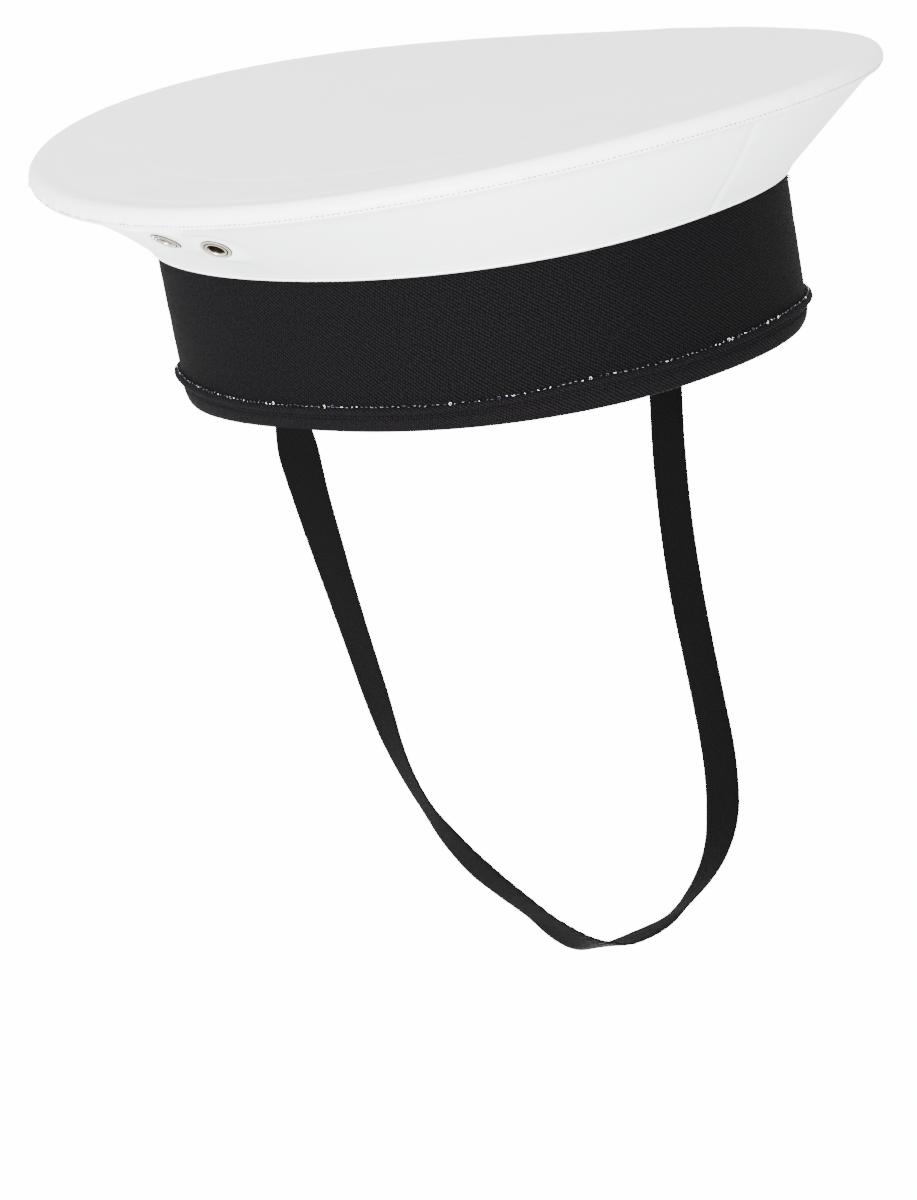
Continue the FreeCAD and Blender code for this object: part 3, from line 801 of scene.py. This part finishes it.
def make_band(turn):
    """The serge from its fold over the board's top, down its outer face, and up its inner one."""
    wander = welt_rise(turn)
    back_seam = 0.35 * bump_at(np.abs(np.degrees(turn)), 180, 0.5)
    leaning = near_turn(turn, *LEAN_PLACE)
    rows = []
    for inset, height in ((0.8, 49.0), (0.35, 49.1), (0.08, 48.9)):
        rows.append(place(turn, oval(turn, inset) + BAND_LEAN * leaning, height + FOOT_RISE * leaning))
    for height in np.linspace(CLOTH_TOP, CLOTH_FOOT, 24):
        rise = (height - CLOTH_FOOT) / (CLOTH_TOP - CLOTH_FOOT)
        sway = ripple(turn, (5, 9, 14), 0.12) * math.sin(math.pi * rise)
        lean = BAND_LEAN * leaning * rise
        up = FOOT_RISE * leaning * rise ** 2 + wander * max(1 - 3 * rise, 0)
        rows.append(place(turn, oval(turn, sway + back_seam) + lean, height + up))
    for height, rise in ((CLOTH_FOOT, 0), (30.0, 0.5), (47.6, 1)):
        lean = BAND_LEAN * leaning * rise
        rows.append(place(turn, oval(turn, 0.8 + 0 * turn) + lean, height + wander * max(1 - 3 * rise, 0)))
    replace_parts(skin("band_cloth_serge", np.stack(rows), SERGE), "band_cloth")


def make_welt(turn):
    """The folded ridge of serge, which wanders up and down."""
    rows = banded(turn, WELT_PROFILE, 0.10, (31, 57, 93))
    rows[..., 2] += welt_rise(turn)
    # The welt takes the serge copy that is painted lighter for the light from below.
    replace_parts(skin("band_welt_fold", rows, LIT_SERGE), "band_welt")


def make_edge(turn):
    """The strip of serge under the welt, tucked in at its foot, which has crept up on the right."""
    creep = CREEP * near_turn(turn, *CREEP_PLACE)
    rows = banded(turn, EDGE_PROFILE, 0.05, (13, 29, 47))
    share = np.clip(rows[..., 2] / EDGE_TOP, 0, 1)
    rows[..., 2] += creep * (1 - share) + welt_rise(turn) * share
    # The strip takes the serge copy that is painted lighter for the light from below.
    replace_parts(skin("band_edge_fold", rows, LIT_SERGE), "band_edge")


make_band(around(960))
make_welt(around(960))
make_edge(around(960))


def make_welt_stitching():
    """Uneven pale stitches that show just above the welt: specks, short bars, loose curls and plain
    stitches in the duller threads."""
    count = 318
    lines = []
    for k in range(count):
        middle = 2 * math.pi * (k + random.uniform(-0.22, 0.22)) / count
        radius = float(oval(middle)) + 0.95
        kind = random.choice(4, p=[0.42, 0.16, 0.12, 0.30])
        material = random.choice(3, p=[0.36, 0.28, 0.36])
        height = 9.45 + float(welt_rise(middle))
        height += random.normal(0, 0.14)
        if kind == 0:
            size, across, upward = 0.13, random.uniform(0.12, 0.36), random.uniform(-0.28, 0.28)
            points = [(-across, -upward, 0), (0, 0, 0.1), (across, upward, 0)]
        elif kind == 1:
            size, across, upward = 0.10, random.uniform(0.35, 0.65), random.uniform(-0.15, 0.2)
            points = [(-across, -upward, -0.1), (-across / 2, 0, 0.12), (across / 2, 0, 0.12),
                      (across, upward, -0.1)]
        elif kind == 2:
            size = 0.09
            loop = np.linspace(-0.6, 4.6, 10) + random.uniform(0, 6)
            wide = random.uniform(0.35, 0.6)
            points = [(wide * math.cos(a), 0.42 * math.sin(a) + 0.1, 0.15 + 0.02 * i)
                      for i, a in enumerate(loop)]
        else:
            size, material = 0.10, random.choice([1, 2])
            points = [(-0.42, 0, -0.06), (0, 0.05, 0.02), (0.42, 0, -0.06)]
        line = [place(middle + x / radius, radius + out, height + up) for x, up, out in points]
        lines.append((np.array(line), size, material))
    bundle("welt_stitching", lines, [WHITE_THREAD, BLUE_THREAD, GREY_THREAD], 6)


make_welt_stitching()


def make_loose_threads():
    """A tuft of black thread ends where the band meets the wall."""
    tuft = []
    for degrees, height, reach, climb in ((-30.5, 48.3, 2.2, -0.5), (-31.5, 48.5, 2.0, -0.3),
                                          (-29.5, 48.1, 1.6, -0.8), (-33, 48.6, 1.2, 0.2)):
        middle = math.radians(degrees)
        start = float(oval(middle)) - 0.4
        steps = np.linspace(0, 1, 7)
        line = place(middle + 0.01 * np.sin(3 * steps), start + reach * steps, height + climb * steps ** 2)
        tuft.append((line, 0.26, 0))
    bundle("loose_threads", tuft, [BLACK_THREAD])


make_loose_threads()


# --------------------------------------------------------------------------------------- the sweatband
SWEATBAND_SEAM = 4.2     # height of the seam that joins its foot to the reed


def make_sweatband():
    """The sweatband from its top edge, down its outer face and up its inner one, with its seam."""
    turn = around(720)
    top_wave = ripple(turn, (3, 7, 12), 0.5)
    rows = []
    for inset, height in ((5.5, 42.0), (5.1, 42.2), (4.8, 42.0)):
        rows.append(place(turn, oval(turn, inset), height + top_wave))
    for height in np.linspace(40, 4, 12):
        rows.append(place(turn, oval(turn, 4.75 + 0 * turn), height))
    rows += banded(turn, [(4.8, 2.6), (5.0, 1.9), (5.3, 1.8), (5.6, 2.2)]).tolist()
    for height in np.linspace(3.2, 41, 16):
        seam = 0.30 * bump_at(height, SWEATBAND_SEAM, 0.5)
        sway = ripple(turn, (5, 9, 13), 0.25) * (height / 41) ** 2
        rows.append(place(turn, oval(turn, 5.7 - seam + sway), height))
    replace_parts(skin("sweatband_leathercloth", np.array(rows), LEATHERCLOTH), "sweatband")


def make_reed():
    """The piping along the sweatband's lower edge."""
    angles = np.linspace(0, 2 * math.pi, 12, endpoint=False)
    profile = [(5.15 + 0.68 * math.cos(a), 0.92 + 0.72 * math.sin(a)) for a in angles]
    rows = banded(around(720), profile)
    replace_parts(skin("sweatband_reed_piping", rows, LEATHERCLOTH), "sweatband_reed")


def make_sweatband_stitching():
    """Black stitches along the sweatband's seam."""
    count = 230
    lines = []
    for k in range(count):
        turns = 2 * math.pi * k / count + np.linspace(-0.0095, 0.0095, 5)
        radius = oval(turns, 5.42) - 0.12 * np.cos(np.linspace(-1.5, 1.5, 5))
        height = SWEATBAND_SEAM + 0.05 * random.normal(size=1)
        lines.append((place(turns, radius, height), 0.16, 0))
    bundle("sweatband_stitching", lines, [BLACK_THREAD])


make_sweatband()
make_reed()
make_sweatband_stitching()

# The band's board has the right shape as it is, so its CAD node stays and only gets its material.
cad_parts["band_board"].data.materials.clear()
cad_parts["band_board"].data.materials.append(BOARD)

# ------------------------------------------------------------------------------------ floor and light
FLOOR_HEIGHT = -0.30
FLOOR_GLOW = 12.0
WORLD_GLOW = 3.05


def make_floor():
    """A wide pale floor that only the camera sees."""
    s = Surface("floor", (0.9, 0.9, 0.9), 0.9, Specular_IOR_Level=0.0)
    s.shader.inputs["Emission Color"].default_value = (1, 1, 1, 1)
    s.shader.inputs["Emission Strength"].default_value = FLOOR_GLOW
    s.paint(s.colours(s.noise(s.solid_place(), 0.8, 1.0), (0.89, 0.89, 0.89), (0.91, 0.91, 0.91)))
    mesh = bpy.data.meshes.new("floor")
    reach = 15.0
    corners = [(-reach, -reach), (reach, -reach), (reach, reach), (-reach, reach)]
    mesh.from_pydata([(x, y, FLOOR_HEIGHT) for x, y in corners], [], [(0, 1, 2, 3)])
    mesh.materials.append(s.material)
    floor = bpy.data.objects.new("floor", mesh)
    scene.collection.objects.link(floor)
    floor.visible_diffuse = False
    floor.visible_glossy = False
    floor.visible_shadow = False


def add_light(name, place, size, power, target=(0, 0, 0.03)):
    data = bpy.data.lights.new(name, "AREA")
    data.shape = "DISK"
    data.size = size
    data.energy = power
    light = bpy.data.objects.new(name, data)
    light.location = place
    light.rotation_euler = (Vector(target) - Vector(place)).to_track_quat("-Z", "Y").to_euler()
    light.visible_camera = False
    scene.collection.objects.link(light)


def make_light():
    """An even white studio with a soft key light on the wearer's right."""
    world = bpy.data.worlds.new("studio")
    world.use_nodes = True
    world.node_tree.nodes["Background"].inputs[0].default_value = (1, 1, 1, 1)
    world.node_tree.nodes["Background"].inputs[1].default_value = WORLD_GLOW
    scene.world = world
    add_light("key", (-2.08, -1.20, 0.17), 1.2, 310)
    add_light("back", (1.7, 1.7, -1.2), 1.0, 120)
    add_light("top", (-0.4, 0.2, 2.0), 1.6, 10)


make_floor()
make_light()
